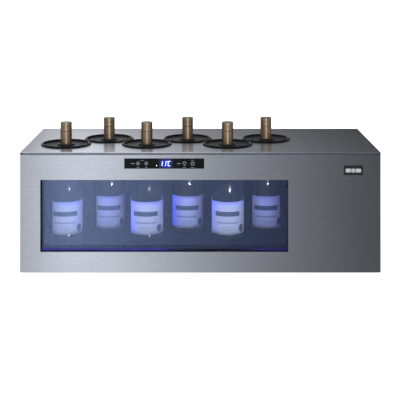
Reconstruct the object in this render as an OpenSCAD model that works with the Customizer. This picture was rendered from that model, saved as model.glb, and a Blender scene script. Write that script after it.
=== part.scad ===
// Countertop bottle chiller and dispenser: a steel cabinet with a lit glass front, six gasketed
// wells in its top that hold bottles by the neck, and a small refrigeration unit at its right end.
// Units are millimetres. X runs to the viewer's right, Y to the rear, Z up from the worktop.

/* [Cabinet] */
// Overall width of the cabinet
body_w = 900; // [896:1:930]
// Overall depth of the cabinet, without the badge and the power inlet
body_d = 372; // [370:1:390]
// Height of the cabinet above its feet
body_h = 300; // [298:1:304]
// Height of the rubber feet
foot_h = 6; // [5:0.5:8]
// Thickness of the steel sheet
sheet = 1.2; // [1.0:0.1:1.4]
// Depth of the top panel's turned-down edge
lip_h = 1.6; // [1.4:0.1:2.4]
// Height of the dark groove between the front panel and the top panel
groove_h = 5; // [4:0.1:5.5]

/* [Window] */
// Width of the window opening
window_w = 618; // [600:1:620]
// Height of the window opening
window_h = 179.4; // [170:0.1:180]
// Centre of the window, measured from the cabinet's centre
window_x = -90; // [-92:1:-88]
// Lower edge of the window above the cabinet's bottom
window_sill = 51.4; // [51:0.1:53]
// Thickness of each glass pane
pane = 4; // [3:0.5:4]
// Air gap between the panes
pane_gap = 12; // [9:1:12]

/* [Bottle wells] */
// Spacing of the wells along the cabinet
well_pitch = 105; // [104:0.5:107]
// Distance between the front row and the back row
row_gap = 80; // [79:0.5:82]
// Front row behind the cabinet's front face
row_setback = 111; // [109:0.5:114]
// Radius of the hole that each collar ring sits in
well_hole_r = 59; // [58.8:0.1:59.2]
// Radius of the round bead on each collar ring
bead_r = 4; // [3.5:0.1:4.2]

/* [Bottles] */
// Radius of a bottle's body
bottle_r = 42.3; // [40:0.1:43]
// Height of a bottle with its cap
bottle_h = 300; // [298:0.5:302]
// How far a bottle's cap stands above the top panel
neck_out = 59; // [57:0.5:61]
// Wall thickness of the bottle glass
glass_wall = 3; // [2.5:0.1:3.5]

/* [Control panel] */
// Width of the control strip
control_w = 199.2; // [190:0.1:202]
// Height of the control strip
control_h = 25.6; // [24:0.1:27]
// Lower edge of the control strip above the cabinet's bottom
control_sill = 258.9; // [258:0.1:260]
// Centre of the control strip, measured from the cabinet's centre
control_x = -90.2; // [-95:0.1:-85]

/* [Refrigeration] */
// Frame size of the evaporator fan
evap_fan = 92; // [80:1:92]
// Frame size of the condenser fan
cond_fan = 120; // [110:1:120]
// Radius of the compressor shell
shell_r = 58; // [54:1:58]

/* [Hidden] */
$fn = 64;
eps = 0.01;

// Cabinet planes
left = -body_w / 2;
right = body_w / 2;
front = -body_d / 2;
rear = body_d / 2;
bottom = foot_h;
top = foot_h + body_h;
panel_top = top - lip_h - 0.2;
groove_z = top - lip_h - groove_h;
groove_d = 12;
edge_r = 1.8;       // outside radius of the folded steel edges
return_d = 16;      // depth of the front panel's folded sides
flange = 12;        // width of the flanges on the side panels
pan_flange = 20;    // height of the base pan's turned-up rim
screw_r = 1.9;
screw_hole_r = 2.1;
head_r = 3.6;
head_h = 1.8;
proud = head_h;     // how far the badge and the power inlet stand out

// Window, outside to inside
window_x0 = window_x - window_w / 2;
window_x1 = window_x + window_w / 2;
window_z0 = bottom + window_sill;
window_z1 = window_z0 + window_h;
gasket_w = 10;      // gasket and glass unit reach this far outside the opening
glass_bite = 8;
outer_pane_y = front + sheet + 12.8;
inner_pane_y = outer_pane_y + pane + pane_gap;
gasket_back = inner_pane_y + pane + 0.5;

// Cold compartment, inside faces of the liner
liner_t = 1.5;
cold_x0 = window_x0 - 15;
cold_x1 = window_x1 + 15;
cold_y0 = gasket_back;
cold_y1 = rear - 46;
cold_z0 = bottom + 46;
cold_z1 = top - 52;
liner_flange = 15;
bulkhead_x = cold_x1 + liner_t + 27;

// Bottle wells
well_n = 6;
well_x0 = -349.4;
front_row = front + row_setback;
sleeve_r = 49.5;
sleeve_t = 1.5;
ledge_t = 2;
ledge_z = top - 4;
bead_z = 0.6;       // height of the bead's centre above the top panel
ring_in = well_hole_r - 0.2 - 1.8;

// Bottles
cap_r = 14.75;
cap_wall = 0.45;
cap_len = 64;
neck_r = cap_r - cap_wall - 0.1;
mouth_r = 9.6;
shoulder_z = 120;
neck_z = 231;
bottle_z = top + neck_out - bottle_h;
seal_bore = cap_r + 0.08;
seal_r = ring_in - 0.6;

// Compressor and machine compartment
pan_top = bottom + sheet;
machine_x = (bulkhead_x + right) / 2;
comp_y = -52;
comp_foot_z = pan_top + 12;
comp_bolts = [for (i = [-1, 1], j = [-1, 1]) [machine_x + i * 62, comp_y + j * 45]];
cond_z = bottom + 168;
cond_y = rear - 80;
cond_depth = 32;
cond_w = 120;
coil_stub = 8;      // length of coil tube outside the fins
cond_h = 196;
cond_fan_y = cond_y + cond_depth + 8;
inlet_x = right - 38;
inlet_z = bottom + 42;
drier = [bulkhead_x + 24, 42, bottom + 60];
drier_len = 70;

// Evaporator, behind its cover
cover_y = front_row + row_gap + 62;
cover_t = 2;
evap = [-330, cover_y + 18, cold_z0 + 26];
evap_size = [372, 26, 140];
evap_fan_x = cold_x1 - 84;
evap_fan_z = (cold_z0 + cold_z1) / 2;

feet = [for (x = [left + 45, right - 45], y = [front + 40, rear - 40]) [x, y]];
rear_screws = concat(
    [for (x = [left + sheet + 6, right - sheet - 6], z = [60, 150, 240]) [x, z]],
    [for (x = [-330, -110, 110, 330]) [x, bottom + 13]]
);

function well(k) = [well_x0 + k * well_pitch, front_row + (k % 2) * row_gap];
function arc(c, r, a0, a1, n = 6) =
    [for (i = [0:n]) let (a = a0 + (a1 - a0) * i / n) c + r * [cos(a), sin(a)]];

// ---------------------------------------------------------------- helpers

// A box between two opposite corners
module block(lo, hi) {
    translate(lo) cube(hi - lo);
}

// A flat shape drawn in X and Z, extruded from y0 to y1
module extrude_y(y0, y1) {
    translate([0, y1, 0]) rotate([90, 0, 0]) linear_extrude(y1 - y0) children();
}

// A flat shape drawn in Y and Z, extruded from x0 to x1
module extrude_x(x0, x1) {
    translate([x0, 0, 0]) rotate([90, 0, 90]) linear_extrude(x1 - x0) children();
}

// A cylinder along Y or X
module rod_y(x, z, y0, y1, r) {
    translate([x, y0, z]) rotate([-90, 0, 0]) cylinder(h = y1 - y0, r = r);
}

module rod_x(y, z, x0, x1, r) {
    translate([x0, y, z]) rotate([0, 90, 0]) cylinder(h = x1 - x0, r = r);
}

// A rectangle from corner to corner with rounded corners
module rounded_rect(x0, y0, x1, y1, r) {
    translate([x0 + r, y0]) square([x1 - x0 - 2 * r, y1 - y0]);
    translate([x0, y0 + r]) square([x1 - x0, y1 - y0 - 2 * r]);
    for (x = [x0 + r, x1 - r], y = [y0 + r, y1 - r])
        translate([x, y]) circle(r);
}

// A rectangular frame: the opening grown by grow, less a hole grown by hole, from y0 to y1
module window_frame(grow, hole, y0, y1) {
    difference() {
        block([window_x0 - grow, y0, window_z0 - grow], [window_x1 + grow, y1, window_z1 + grow]);
        block([window_x0 - hole, y0 - 1, window_z0 - hole],
              [window_x1 + hole, y1 + 1, window_z1 + hole]);
    }
}

// A round tube or cable through a list of points, with ball joints at the bends
module tube(points, r) {
    n = len(points);
    for (i = [0:n - 2]) {
        d = points[i + 1] - points[i];
        run = norm(d);
        translate(points[i])
            rotate([0, acos(d.z / run), atan2(d.y, d.x)])
                cylinder(h = run, r = r, $fn = 24);
    }
    for (i = [1:1:n - 2])
        translate(points[i]) sphere(r, $fn = 24);
}

// A slot with round ends, w wide and h high, as a flat shape
module slot(w, h) {
    r = min(w, h) / 2;
    rounded_rect(-w / 2, -h / 2, w / 2, h / 2, r - eps);
}

// Rows of slots round the origin, spaced dx and dz apart
module slot_grid(columns, rows, dx, dz, w, h) {
    for (i = [0:columns - 1], j = [0:rows - 1])
        translate([(i - (columns - 1) / 2) * dx, (j - (rows - 1) / 2) * dz]) slot(w, h);
}

// ---------------------------------------------------------------- cabinet

module base_pan() {
    color("gainsboro") difference() {
        block([left + sheet, front + sheet, bottom],
              [right - sheet, rear - sheet, bottom + pan_flange]);
        block([left + 2 * sheet, front + 2 * sheet, pan_top],
              [right - 2 * sheet, rear - 2 * sheet, top]);
        for (p = feet)
            translate([p.x, p.y, 0]) cylinder(h = top, r = screw_hole_r);
        for (p = comp_bolts)
            translate([p.x, p.y, 0]) cylinder(h = top, r = 4.2);
        translate([machine_x, comp_y, 0])
            linear_extrude(top) slot_grid(5, 3, 22, 26, 5, 20);
        for (p = rear_screws)
            rod_y(p.x, p.y, rear - 2 * sheet - 1, rear, screw_hole_r);
    }
}

module rubber_feet() {
    color("black") for (p = feet) translate([p.x, p.y, 0]) difference() {
        cylinder(h = foot_h, r1 = 12, r2 = 14);
        translate([0, 0, -1]) cylinder(h = foot_h + 2, r = screw_hole_r);
        translate([0, 0, -1]) cylinder(h = 4, r = 5);
    }
}

// Outer skin of the front. Its folded ends rise to the top panel; its face stops at the groove
module front_panel() {
    color("silver") difference() {
        translate([0, 0, bottom]) linear_extrude(panel_top - bottom)
            rounded_rect(left, front, right, front + 2 * return_d, edge_r);
        block([left - 1, front + return_d, bottom - 1], [right + 1, front + 3 * return_d, top]);
        block([left + sheet, front + sheet, bottom - 1],
              [right - sheet, front + return_d + 1, groove_z - sheet]);
        block([left + sheet, front - 1, groove_z], [right - sheet, front + return_d + 1, top]);
        block([left + sheet, front - 1, groove_z - edge_r], [right - sheet, front + edge_r, top]);
        extrude_y(front - 1, front + 10)
            rounded_rect(window_x0, window_z0, window_x1, window_z1, 1.2);
        extrude_y(front - 1, front + 10)
            translate([control_x - control_w / 2, bottom + control_sill])
                square([control_w, control_h]);
    }
    color("silver") difference() {
        intersection() {
            rod_x(front + edge_r, groove_z - edge_r, left + sheet, right - sheet, edge_r);
            block([left, front, groove_z - edge_r], [right, front + edge_r, groove_z]);
        }
        block([left, front + sheet, bottom], [right, front + 2 * edge_r, groove_z - sheet]);
    }
}

// One side panel; side is -1 for the left end and 1 for the right end
module side_panel(side) {
    skin = side * (body_w / 2 - sheet / 2);
    inset = side * (body_w / 2 - sheet - flange / 2);
    y0 = front + return_d + 0.2;
    difference() {
        union() {
            translate([skin, (y0 + rear - sheet) / 2, (bottom + panel_top) / 2])
                cube([sheet, rear - sheet - y0, panel_top - bottom], center = true);
            translate([inset, (y0 + rear - sheet) / 2, panel_top - sheet / 2])
                cube([flange, rear - sheet - y0, sheet], center = true);
            translate([inset, rear - sheet * 1.5, (bottom + pan_flange + 2 + panel_top) / 2])
                cube([flange, sheet, panel_top - bottom - pan_flange - 2], center = true);
        }
        for (p = rear_screws)
            rod_y(p.x, p.y, rear - 2 * sheet - 1, rear, screw_hole_r);
        if (side > 0)
            extrude_x(right - 5, right + 5)
                translate([0, bottom + 150]) slot_grid(3, 13, 74, 12, 60, 4.5);
    }
}

module left_side_panel() {
    color("silver") side_panel(-1);
}

module right_side_panel() {
    color("silver") side_panel(1);
}

// Lid with a rounded, turned-down edge, a hole for each well and a skirt that backs the groove
module top_panel() {
    color("silver") block([left + 2 * sheet, front + groove_d, groove_z + 0.3],
                          [right - 2 * sheet, front + groove_d + sheet, top - sheet / 2]);
    color("silver") difference() {
        intersection() {
            extrude_x(left, right) rounded_rect(front, top - 30, rear, top, edge_r);
            extrude_y(front, rear) rounded_rect(left, top - 30, right, top, edge_r);
            block([left, front, top - lip_h], [right, rear, top]);
        }
        block([left + sheet, front + sheet, top - lip_h - 1],
              [right - sheet, rear - sheet, top - sheet]);
        for (k = [0:well_n - 1])
            translate([well(k).x, well(k).y, top - 10]) cylinder(h = 20, r = well_hole_r, $fn = 96);
    }
}

module rear_panel() {
    color("gainsboro") difference() {
        block([left, rear - sheet, bottom], [right, rear, panel_top]);
        extrude_y(rear - 5, rear + 5)
            translate([machine_x, cond_z]) slot_grid(2, 11, 64, 10, 56, 4.5);
        for (p = rear_screws)
            rod_y(p.x, p.y, rear - 5, rear + 5, screw_hole_r);
        block([inlet_x - 14, rear - 5, inlet_z - 10.2], [inlet_x + 14, rear + 5, inlet_z + 10.2]);
        for (i = [-1, 1])
            rod_y(inlet_x + i * 20, inlet_z, rear - 5, rear + 5, 1.7);
    }
}

// Pan-head screw along +Z, its head below the origin
module screw(len, r = screw_r, head = head_r) {
    difference() {
        union() {
            translate([0, 0, -head_h]) cylinder(h = head_h, r1 = head * 0.72, r2 = head, $fn = 32);
            cylinder(h = len, r = r, $fn = 24);
        }
        for (a = [0, 90])
            rotate([0, 0, a]) translate([-head * 0.5, -0.4, -head_h - 1])
                cube([head, 0.8, 1.9]);
    }
}

module fasteners() {
    color("lightgray") {
        for (p = feet) translate([p.x, p.y, 3]) screw(9);
        for (p = rear_screws) translate([p.x, rear, p.y]) rotate([90, 0, 0]) screw(7);
        for (p = comp_bolts) translate([p.x, p.y, bottom]) {
            cylinder(h = comp_foot_z + 6 - bottom, r = 3, $fn = 24);
            translate([0, 0, comp_foot_z + 4.1 - bottom]) cylinder(h = 4, r = 5.6, $fn = 6);
            translate([0, 0, -2.5]) cylinder(h = 2.5, r = 6, $fn = 6);
        }
    }
}

module bulkhead() {
    color("gainsboro") difference() {
        block([bulkhead_x, front + sheet + 1.3, pan_top],
              [bulkhead_x + sheet, rear - 2 * sheet - 0.1, groove_z - sheet - 0.2]);
        rod_x(suction_y, pipe_z, 0, right, 5);
        rod_x(capillary_y, pipe_z, 0, right, 3);
        rod_x(hose_y, hose_z, 0, right, 7);
        rod_x(cable_y, cable_z, 0, right, 4);
    }
}

// ---------------------------------------------------------------- insulation and liner

suction_y = cold_y1 - 26;
capillary_y = cold_y1 - 12;
pipe_z = cold_z1 - 40;
hose_y = cold_y1 - 30;
hose_z = bottom + 30;
hose_x = cold_x1 - 18;
cable_y = front + 18;
cable_z = bottom + control_sill + control_h / 2;
control_x0 = control_x - control_w / 2 - 4;
control_x1 = control_x + control_w / 2 + 4;
control_back = front + sheet + 25;

module foam_insulation() {
    color("khaki") difference() {
        block([left + sheet, front + sheet, pan_top], [bulkhead_x, rear - sheet, top - sheet]);
        // room for the flanges of the panels and the rim of the base pan
        block([left, front, groove_z - sheet - 0.2], [right, front + return_d + 0.2, top]);
        block([left, front, panel_top - sheet - 0.2], [left + sheet + flange + 0.2, rear, top]);
        block([left, rear - 2 * sheet - 0.2, bottom], [left + sheet + flange + 0.2, rear, top]);
        block([left, front, 0], [right, front + 2 * sheet + 0.1, bottom + pan_flange + 0.2]);
        block([left, rear - 2 * sheet - 0.1, 0], [right, rear, bottom + pan_flange + 0.2]);
        block([left, front, 0], [left + 2 * sheet + 0.1, rear, bottom + pan_flange + 0.2]);
        // liner and its front flange
        block([cold_x0 - liner_t, cold_y0 - eps, cold_z0 - liner_t],
              [cold_x1 + liner_t, cold_y1 + liner_t, cold_z1 + liner_t]);
        block([cold_x0 - liner_flange, cold_y0, cold_z0 - flange],
              [cold_x1 + liner_flange, cold_y0 + liner_t, cold_z1 + flange]);
        // window unit with its gasket, and the control box
        block([window_x0 - gasket_w, front, window_z0 - gasket_w],
              [window_x1 + gasket_w, cold_y0 + eps, window_z1 + gasket_w]);
        block([control_x0, front, bottom + control_sill - 3.5],
              [control_x1, control_back, bottom + control_sill + control_h + 3.5]);
        for (k = [0:well_n - 1]) translate([well(k).x, well(k).y, 0]) {
            translate([0, 0, cold_z1]) cylinder(h = top, r = sleeve_r + sleeve_t);
            translate([0, 0, top - 8]) cylinder(h = 20, r = well_hole_r + 1.6);
        }
        // screw points, pipes, drain and cable
        for (p = feet) translate([p.x, p.y, 0]) cylinder(h = bottom + 14, r = 3);
        for (p = rear_screws) rod_y(p.x, p.y, rear - 12, rear, 3);
        rod_x(suction_y, pipe_z, cold_x1, right, 4.2);
        rod_x(capillary_y, pipe_z, cold_x1, right, 2);
        rod_x(hose_y, hose_z, hose_x, right, 6);
        translate([hose_x, hose_y, hose_z]) cylinder(h = cold_z0 - hose_z, r = 6);
        translate([hose_x, hose_y, hose_z]) sphere(6);
        rod_x(cable_y, cable_z, control_x1 - 1, right, 2.6);
    }
}

module inner_liner() {
    color("dimgray") difference() {
        union() {
            block([cold_x0 - liner_t, cold_y0, cold_z0 - liner_t],
                  [cold_x1 + liner_t, cold_y1 + liner_t, cold_z1 + liner_t]);
            block([cold_x0 - liner_flange, cold_y0, cold_z0 - flange],
                  [cold_x1 + liner_flange, cold_y0 + liner_t, cold_z1 + flange]);
        }
        block([cold_x0, cold_y0 - 1, cold_z0], [cold_x1, cold_y1, cold_z1]);
        for (k = [0:well_n - 1])
            translate([well(k).x, well(k).y, cold_z1 - 5])
                cylinder(h = 20, r = sleeve_r + sleeve_t + 0.1);
        rod_x(suction_y, pipe_z, cold_x1 - 5, right, 4.2);
        rod_x(capillary_y, pipe_z, cold_x1 - 5, right, 2);
        translate([hose_x, hose_y, cold_z0 - 10]) cylinder(h = 20, r = 5);
    }
}

module well_sleeves() {
    color("dimgray") for (k = [0:well_n - 1])
        translate([well(k).x, well(k).y, 0]) difference() {
            union() {
                translate([0, 0, cold_z1 - 1.5])
                    cylinder(h = ledge_z - ledge_t - 0.1 - cold_z1 + 1.5, r = sleeve_r + sleeve_t);
                translate([0, 0, cold_z1 - 1.5]) cylinder(h = 1.4, r = sleeve_r + 5);
            }
            translate([0, 0, cold_z1 - 5]) cylinder(h = 80, r = sleeve_r);
        }
}

// Black ring that trims each hole and carries the neck seal on a ledge
module collar_rings() {
    color("black") for (k = [0:well_n - 1])
        translate([well(k).x, well(k).y, top]) rotate_extrude($fn = 96) {
            intersection() {
                translate([ring_in + bead_r, bead_z]) circle(bead_r, $fn = 48);
                translate([ring_in, 0]) square([3 * bead_r, 3 * bead_r]);
            }
            translate([ring_in, -6]) square([1.8, 7]);
            translate([sleeve_r, -6]) square([ring_in - sleeve_r + 1, ledge_t]);
            polygon([[ring_in + 1, -5], [ring_in + 1.8, -5], [ring_in + 3, -1.6 - sheet],
                     [ring_in + 3, -0.1 - sheet], [ring_in + 1, -0.1 - sheet]]);
        }
}

// Soft disc that closes a well round the neck of its bottle
module neck_seal(k) {
    color("dimgray") translate([well(k).x, well(k).y, top]) rotate_extrude($fn = 96) {
        translate([seal_bore, -2.2]) square([seal_r - seal_bore, 1.8]);
        translate([seal_r - 3, -4]) square([3, 3.8]);
        translate([seal_r - 1.5, -0.4]) circle(1.2, $fn = 24);
        translate([seal_r - 14, -0.4]) circle(0.7, $fn = 24);
        translate([seal_bore, -6]) square([7, 7.4]);
        translate([seal_bore + 1.5, 1.4]) circle(1.5, $fn = 24);
        translate([seal_bore + 5.5, 1.4]) circle(1.5, $fn = 24);
        translate([seal_bore + 1.5, 1]) square([4, 1.9]);
    }
}

// ---------------------------------------------------------------- window

module window_gasket() {
    color("black") {
        difference() {
            window_frame(gasket_w, 0, front + sheet, gasket_back);
            window_frame(glass_bite + 0.1, -1, outer_pane_y, gasket_back + 1);
            block([window_x0 - glass_bite - 0.1, outer_pane_y, window_z0 - glass_bite - 0.1],
                  [window_x1 + glass_bite + 0.1, gasket_back + 1, window_z1 + glass_bite + 0.1]);
        }
    }
}

module glass_pane(y0) {
    block([window_x0 - glass_bite, y0, window_z0 - glass_bite],
          [window_x1 + glass_bite, y0 + pane, window_z1 + glass_bite]);
}

module outer_glass() {
    color("lightblue", 0.4) glass_pane(outer_pane_y);
}

module inner_glass() {
    color("lightblue", 0.4) glass_pane(inner_pane_y);
}

module window_spacer() {
    color("black") window_frame(glass_bite - 0.5, 0, outer_pane_y + pane, inner_pane_y);
}

// ---------------------------------------------------------------- inside the cold compartment

// Floor rack with a low cup round the foot of each bottle
module bottle_rack() {
    y0 = front_row - 58;
    y1 = front_row + row_gap + 56;
    color("gray") {
        difference() {
            union() {
                block([cold_x0 + 4, y0, bottle_z - 3], [cold_x1 - 4, y1, bottle_z]);
                for (i = [0:6], x = cold_x0 + 14 + i * 102)
                    block([x, y0 + 6, cold_z0], [x + 3, y1 - 6, bottle_z - 2]);
                for (k = [0:well_n - 1])
                    translate([well(k).x, well(k).y, bottle_z - 1]) cylinder(h = 7, r = bottle_r + 3);
            }
            for (k = [0:well_n - 1])
                translate([well(k).x, well(k).y, bottle_z]) cylinder(h = 20, r = bottle_r + 0.8);
            for (k = [0:well_n - 1], a = [0:60:300])
                translate([well(k).x, well(k).y, cold_z0 + 1]) rotate([0, 0, a])
                    translate([24, 0, 0]) cylinder(h = 20, r = 6);
        }
    }
}

module led_strip() {
    y = cold_y0 + 13;
    color("white") {
        block([window_x0 + 4, y - 4, cold_z1 - 2], [window_x1 - 4, y + 4, cold_z1 - 0.4]);
        for (i = [0:29])
            translate([window_x0 + 19 + i * (window_w - 38) / 29, y, cold_z1 - 2.6])
                cube([3.5, 2.8, 1.2], center = true);
    }
}

module led_cover() {
    y = cold_y0 + 13;
    color("lightcyan", 0.5) difference() {
        block([window_x0 + 1, y - 7, cold_z1 - 7], [window_x1 - 1, y + 7, cold_z1]);
        block([window_x0 + 2.2, y - 5.8, cold_z1 - 5.8], [window_x1 - 2.2, y + 5.8, cold_z1 + 1]);
    }
}

// Aluminium fins on a copper coil: tubes run along X through fins that stand across them
module fin_coil(size, fins, passes, r) {
    dz = size.z / passes;
    for (i = [0:fins - 1])
        translate([i * (size.x - 1) / (fins - 1), 0, 0]) cube([1, size.y, size.z]);
    for (j = [0:passes - 1])
        rod_x(size.y / 2, (j + 0.5) * dz, -coil_stub, size.x + coil_stub, r);
    for (j = [0:passes - 2]) {
        end = j % 2 == 0 ? size.x + coil_stub : -coil_stub;
        turn = j % 2 == 0 ? -90 : 90;
        translate([end, size.y / 2, (j + 1) * dz]) rotate([90, 0, 0]) rotate([0, 0, turn])
            rotate_extrude(angle = 180, $fn = 48) translate([dz / 2, 0]) circle(r, $fn = 24);
    }
}

module evaporator() {
    color("lightsteelblue") translate(evap) fin_coil(evap_size, 25, 5, 4);
}

module evaporator_cover() {
    x0 = cold_x0 + 6;
    x1 = cold_x1 - 6;
    z0 = cold_z0 + 3;
    z1 = cold_z1 - 4;
    grille_x = (x0 + evap_fan_x - evap_fan / 2) / 2;
    color("gray") difference() {
        block([x0, cover_y, z0], [x1, cold_y1, z1]);
        block([x0 + cover_t, cover_y + cover_t, z0 + cover_t],
              [x1 - cover_t, cold_y1 + 1, z1 - cover_t]);
        extrude_y(cover_y - 1, cover_y + cover_t + 1) {
            for (z = [z0 + 24, z1 - 24])
                translate([grille_x, z]) slot_grid(9, 3, 42, 10, 34, 5);
        }
        rod_y(evap_fan_x, evap_fan_z, cover_y - 1, cover_y + cover_t + 1, evap_fan / 2 - 4);
        rod_x(suction_y, pipe_z, x1 - 5, right, 4.2);
        rod_x(capillary_y, pipe_z, x1 - 5, right, 2);
        translate([hose_x, hose_y, 0]) cylinder(h = z0 + 5, r = 8);
    }
}

// Axial fan frame: square duct, motor base on struts and a shaft, along +Z from the origin
module fan_frame(size, depth) {
    duct = size / 2 - 3;
    hub = size * 0.19;
    difference() {
        translate([-size / 2, -size / 2, 0]) cube([size, size, depth]);
        translate([0, 0, -1]) cylinder(h = depth + 2, r = duct, $fn = 96);
        for (x = [-1, 1], y = [-1, 1])
            translate([x * (size / 2 - 5), y * (size / 2 - 5), -1])
                cylinder(h = depth + 2, r = 2.2, $fn = 24);
    }
    intersection() {
        cylinder(h = depth, r = duct + 1, $fn = 96);
        for (a = [45:90:315])
            rotate([0, 0, a]) translate([hub - 1, -1.5, depth - 3]) cube([size, 3, 3]);
    }
    translate([0, 0, depth - 3]) cylinder(h = 3, r = hub);
    translate([0, 0, 7]) cylinder(h = depth - 8, r = hub - 3);
    translate([0, 0, 1]) cylinder(h = 8, r = 1.5, $fn = 32);
}

// Fan rotor: a cup with a bush on the shaft, and seven pitched blades
module fan_rotor(size, depth) {
    hub = size * 0.19;
    tip = size / 2 - 4.5;
    difference() {
        translate([0, 0, 1]) cylinder(h = depth - 5, r = hub);
        translate([0, 0, 3]) cylinder(h = depth, r = hub - 1.8);
        translate([0, 0, -1]) cylinder(h = depth, r = 1.55, $fn = 32);
    }
    difference() {
        translate([0, 0, 2]) cylinder(h = 4, r = 3.6, $fn = 32);
        cylinder(h = depth, r = 1.55, $fn = 32);
    }
    for (k = [0:6]) rotate([0, 0, k * 360 / 7]) intersection() {
        difference() {
            translate([0, 0, 2]) cylinder(h = depth - 7, r = tip);
            cylinder(h = depth, r = hub - 1);
        }
        translate([0, 0, depth / 2 - 1.5]) rotate([38, 0, 0])
            translate([hub - 1, -size, -0.8]) cube([tip, 2 * size, 1.6]);
        translate([0, -size * 0.19, 0]) cube([size, size * 0.38, depth]);
    }
}

module evaporator_fan_place() {
    translate([evap_fan_x, cover_y + cover_t, evap_fan_z]) rotate([-90, 0, 0]) children();
}

module evaporator_fan_frame() {
    color("black") evaporator_fan_place() fan_frame(evap_fan, 25);
}

module evaporator_fan_rotor() {
    color("dimgray") evaporator_fan_place() fan_rotor(evap_fan, 25);
}

module temperature_probe() {
    x = cold_x1 - 5;
    color("white") {
        rod_y(x - 1, cold_z0 + 120, -30, 0, 3);
        block([x - 2.5, -20, cold_z0 + 116], [cold_x1, -10, cold_z0 + 124]);
    }
}

module drain_hose() {
    inner = [hose_x, hose_y, cold_z0 - liner_t];
    bend = [hose_x, hose_y, hose_z];
    outlet = [machine_x - 62, hose_y, hose_z];
    color("whitesmoke") difference() {
        tube([inner, bend, outlet], 5.8);
        tube([inner + [0, 0, 1], bend, outlet + [1, 0, 0]], 4);
    }
}

// ---------------------------------------------------------------- controls, badge and wiring

module control_lens() {
    z0 = bottom + control_sill;
    x0 = control_x - control_w / 2;
    color("black") {
        block([x0 + 0.15, front - 0.2, z0 + 0.15],
              [x0 + control_w - 0.15, front + sheet + 1, z0 + control_h - 0.15]);
        block([x0 - 3, front + sheet, z0 - 2.5],
              [x0 + control_w + 3, front + sheet + 1.4, z0 + control_h + 2.5]);
    }
}

module control_housing() {
    z0 = bottom + control_sill - 3;
    z1 = z0 + control_h + 6;
    color("black") difference() {
        block([control_x0 + 0.5, front + sheet + 1.4, z0], [control_x1 - 0.5, control_back - 0.5, z1]);
        block([control_x0 + 2.5, front + sheet, z0 + 2],
              [control_x1 - 2.5, control_back - 2.5, z1 - 2]);
        rod_x(cable_y, cable_z, control_x1 - 4, control_x1 + 4, 2.6);
    }
}

// Board with four chips and a touch sensor behind each symbol of the lens
module control_board() {
    z0 = bottom + control_sill;
    color("darkgreen") {
        block([control_x0 + 6, front + 11, z0 + 0.8],
              [control_x1 - 14, front + 12.6, z0 + control_h - 0.8]);
        for (chip = [-80, -60, 38, 58])
            block([control_x + chip, front + 12.6, z0 + 6],
                  [control_x + chip + 9, front + 15, z0 + 15]);
        for (sensor = [-66, -45, 50, 71])
            rod_y(control_x + sensor, cable_z, front + 4, front + 11, 5);
    }
}

// Two-digit display with its window in the lens
module display_module() {
    z0 = bottom + control_sill;
    color("midnightblue")
        block([control_x - 16, front + 3, z0 + 4], [control_x + 16, front + 11, z0 + control_h - 4]);
}

// Plain plate with a raised rim, near the top right corner of the front
module badge() {
    lo = [right - 93, bottom + 243.7];
    hi = [right - 45, bottom + 266.7];
    rim = 1.4;
    color("black") difference() {
        extrude_y(front - proud, front) rounded_rect(lo.x, lo.y, hi.x, hi.y, 1.6);
        extrude_y(front - proud - 1, front - proud + 0.3)
            rounded_rect(lo.x + rim, lo.y + rim, hi.x - rim, hi.y - rim, 1);
    }
}

module main_board() {
    x = bulkhead_x + sheet;
    color("darkgreen") {
        block([x + 6, front + 22, bottom + 176], [x + 7.6, front + 122, bottom + 276]);
        for (y = [front + 27, front + 117], z = [bottom + 181, bottom + 271])
            rod_x(y, z, x, x + 6.5, 3);
        block([x + 7.6, front + 32, bottom + 226], [x + 40, front + 76, bottom + 266]);
        for (i = [0:2])
            block([x + 7.6, front + 32 + i * 22, bottom + 184],
                  [x + 23, front + 50 + i * 22, bottom + 212]);
        for (z = [bottom + 232, bottom + 256]) rod_x(front + 96, z, x + 7.6, x + 34, 8);
    }
}

module power_inlet() {
    color("black") {
        difference() {
            union() {
                extrude_y(rear, rear + proud)
                    rounded_rect(inlet_x - 25, inlet_z - 12, inlet_x + 25, inlet_z + 12, 4);
                block([inlet_x - 13.8, rear - 22, inlet_z - 10],
                      [inlet_x + 13.8, rear + 1, inlet_z + 10]);
            }
            block([inlet_x - 12, rear - 14, inlet_z - 8.2], [inlet_x + 12, rear + 5, inlet_z + 8.2]);
            for (i = [-1, 1]) rod_y(inlet_x + i * 20, inlet_z, rear - 5, rear + 5, 1.7);
        }
        for (p = [[-7, -2.5], [7, -2.5], [0, 2.5]])
            block([inlet_x + p.x - 1, rear - 15, inlet_z + p.y - 2],
                  [inlet_x + p.x + 1, rear - 2, inlet_z + p.y + 2]);
    }
}

module wiring_harness() {
    x = bulkhead_x + sheet;
    color("white") {
        tube([[control_x1 - 3, cable_y, cable_z], [x + 3, cable_y, cable_z]], 2.2);
        tube([[inlet_x, rear - 22, inlet_z], [inlet_x, rear - 30, inlet_z],
              [inlet_x, rear - 30, bottom + 32], [right - 22, rear - 30, bottom + 32],
              [right - 22, front + 40, bottom + 32], [x + 12, front + 40, bottom + 32],
              [x + 12, front + 40, bottom + 183]], 2.4);
        tube([[x + 16, front + 62, bottom + 183], [x + 16, front + 62, bottom + 70],
              [machine_x - shell_r - 13, front + 62, bottom + 70]], 2);
        tube([[x + 30, front + 110, bottom + 266], [x + 30, cond_fan_y + 12, bottom + 266],
              [machine_x - 40, cond_fan_y + 12, bottom + 266],
              [machine_x - 40, cond_fan_y + 12, cond_z + cond_fan / 2]], 1.8);
    }
}

// ---------------------------------------------------------------- refrigeration unit

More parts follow.
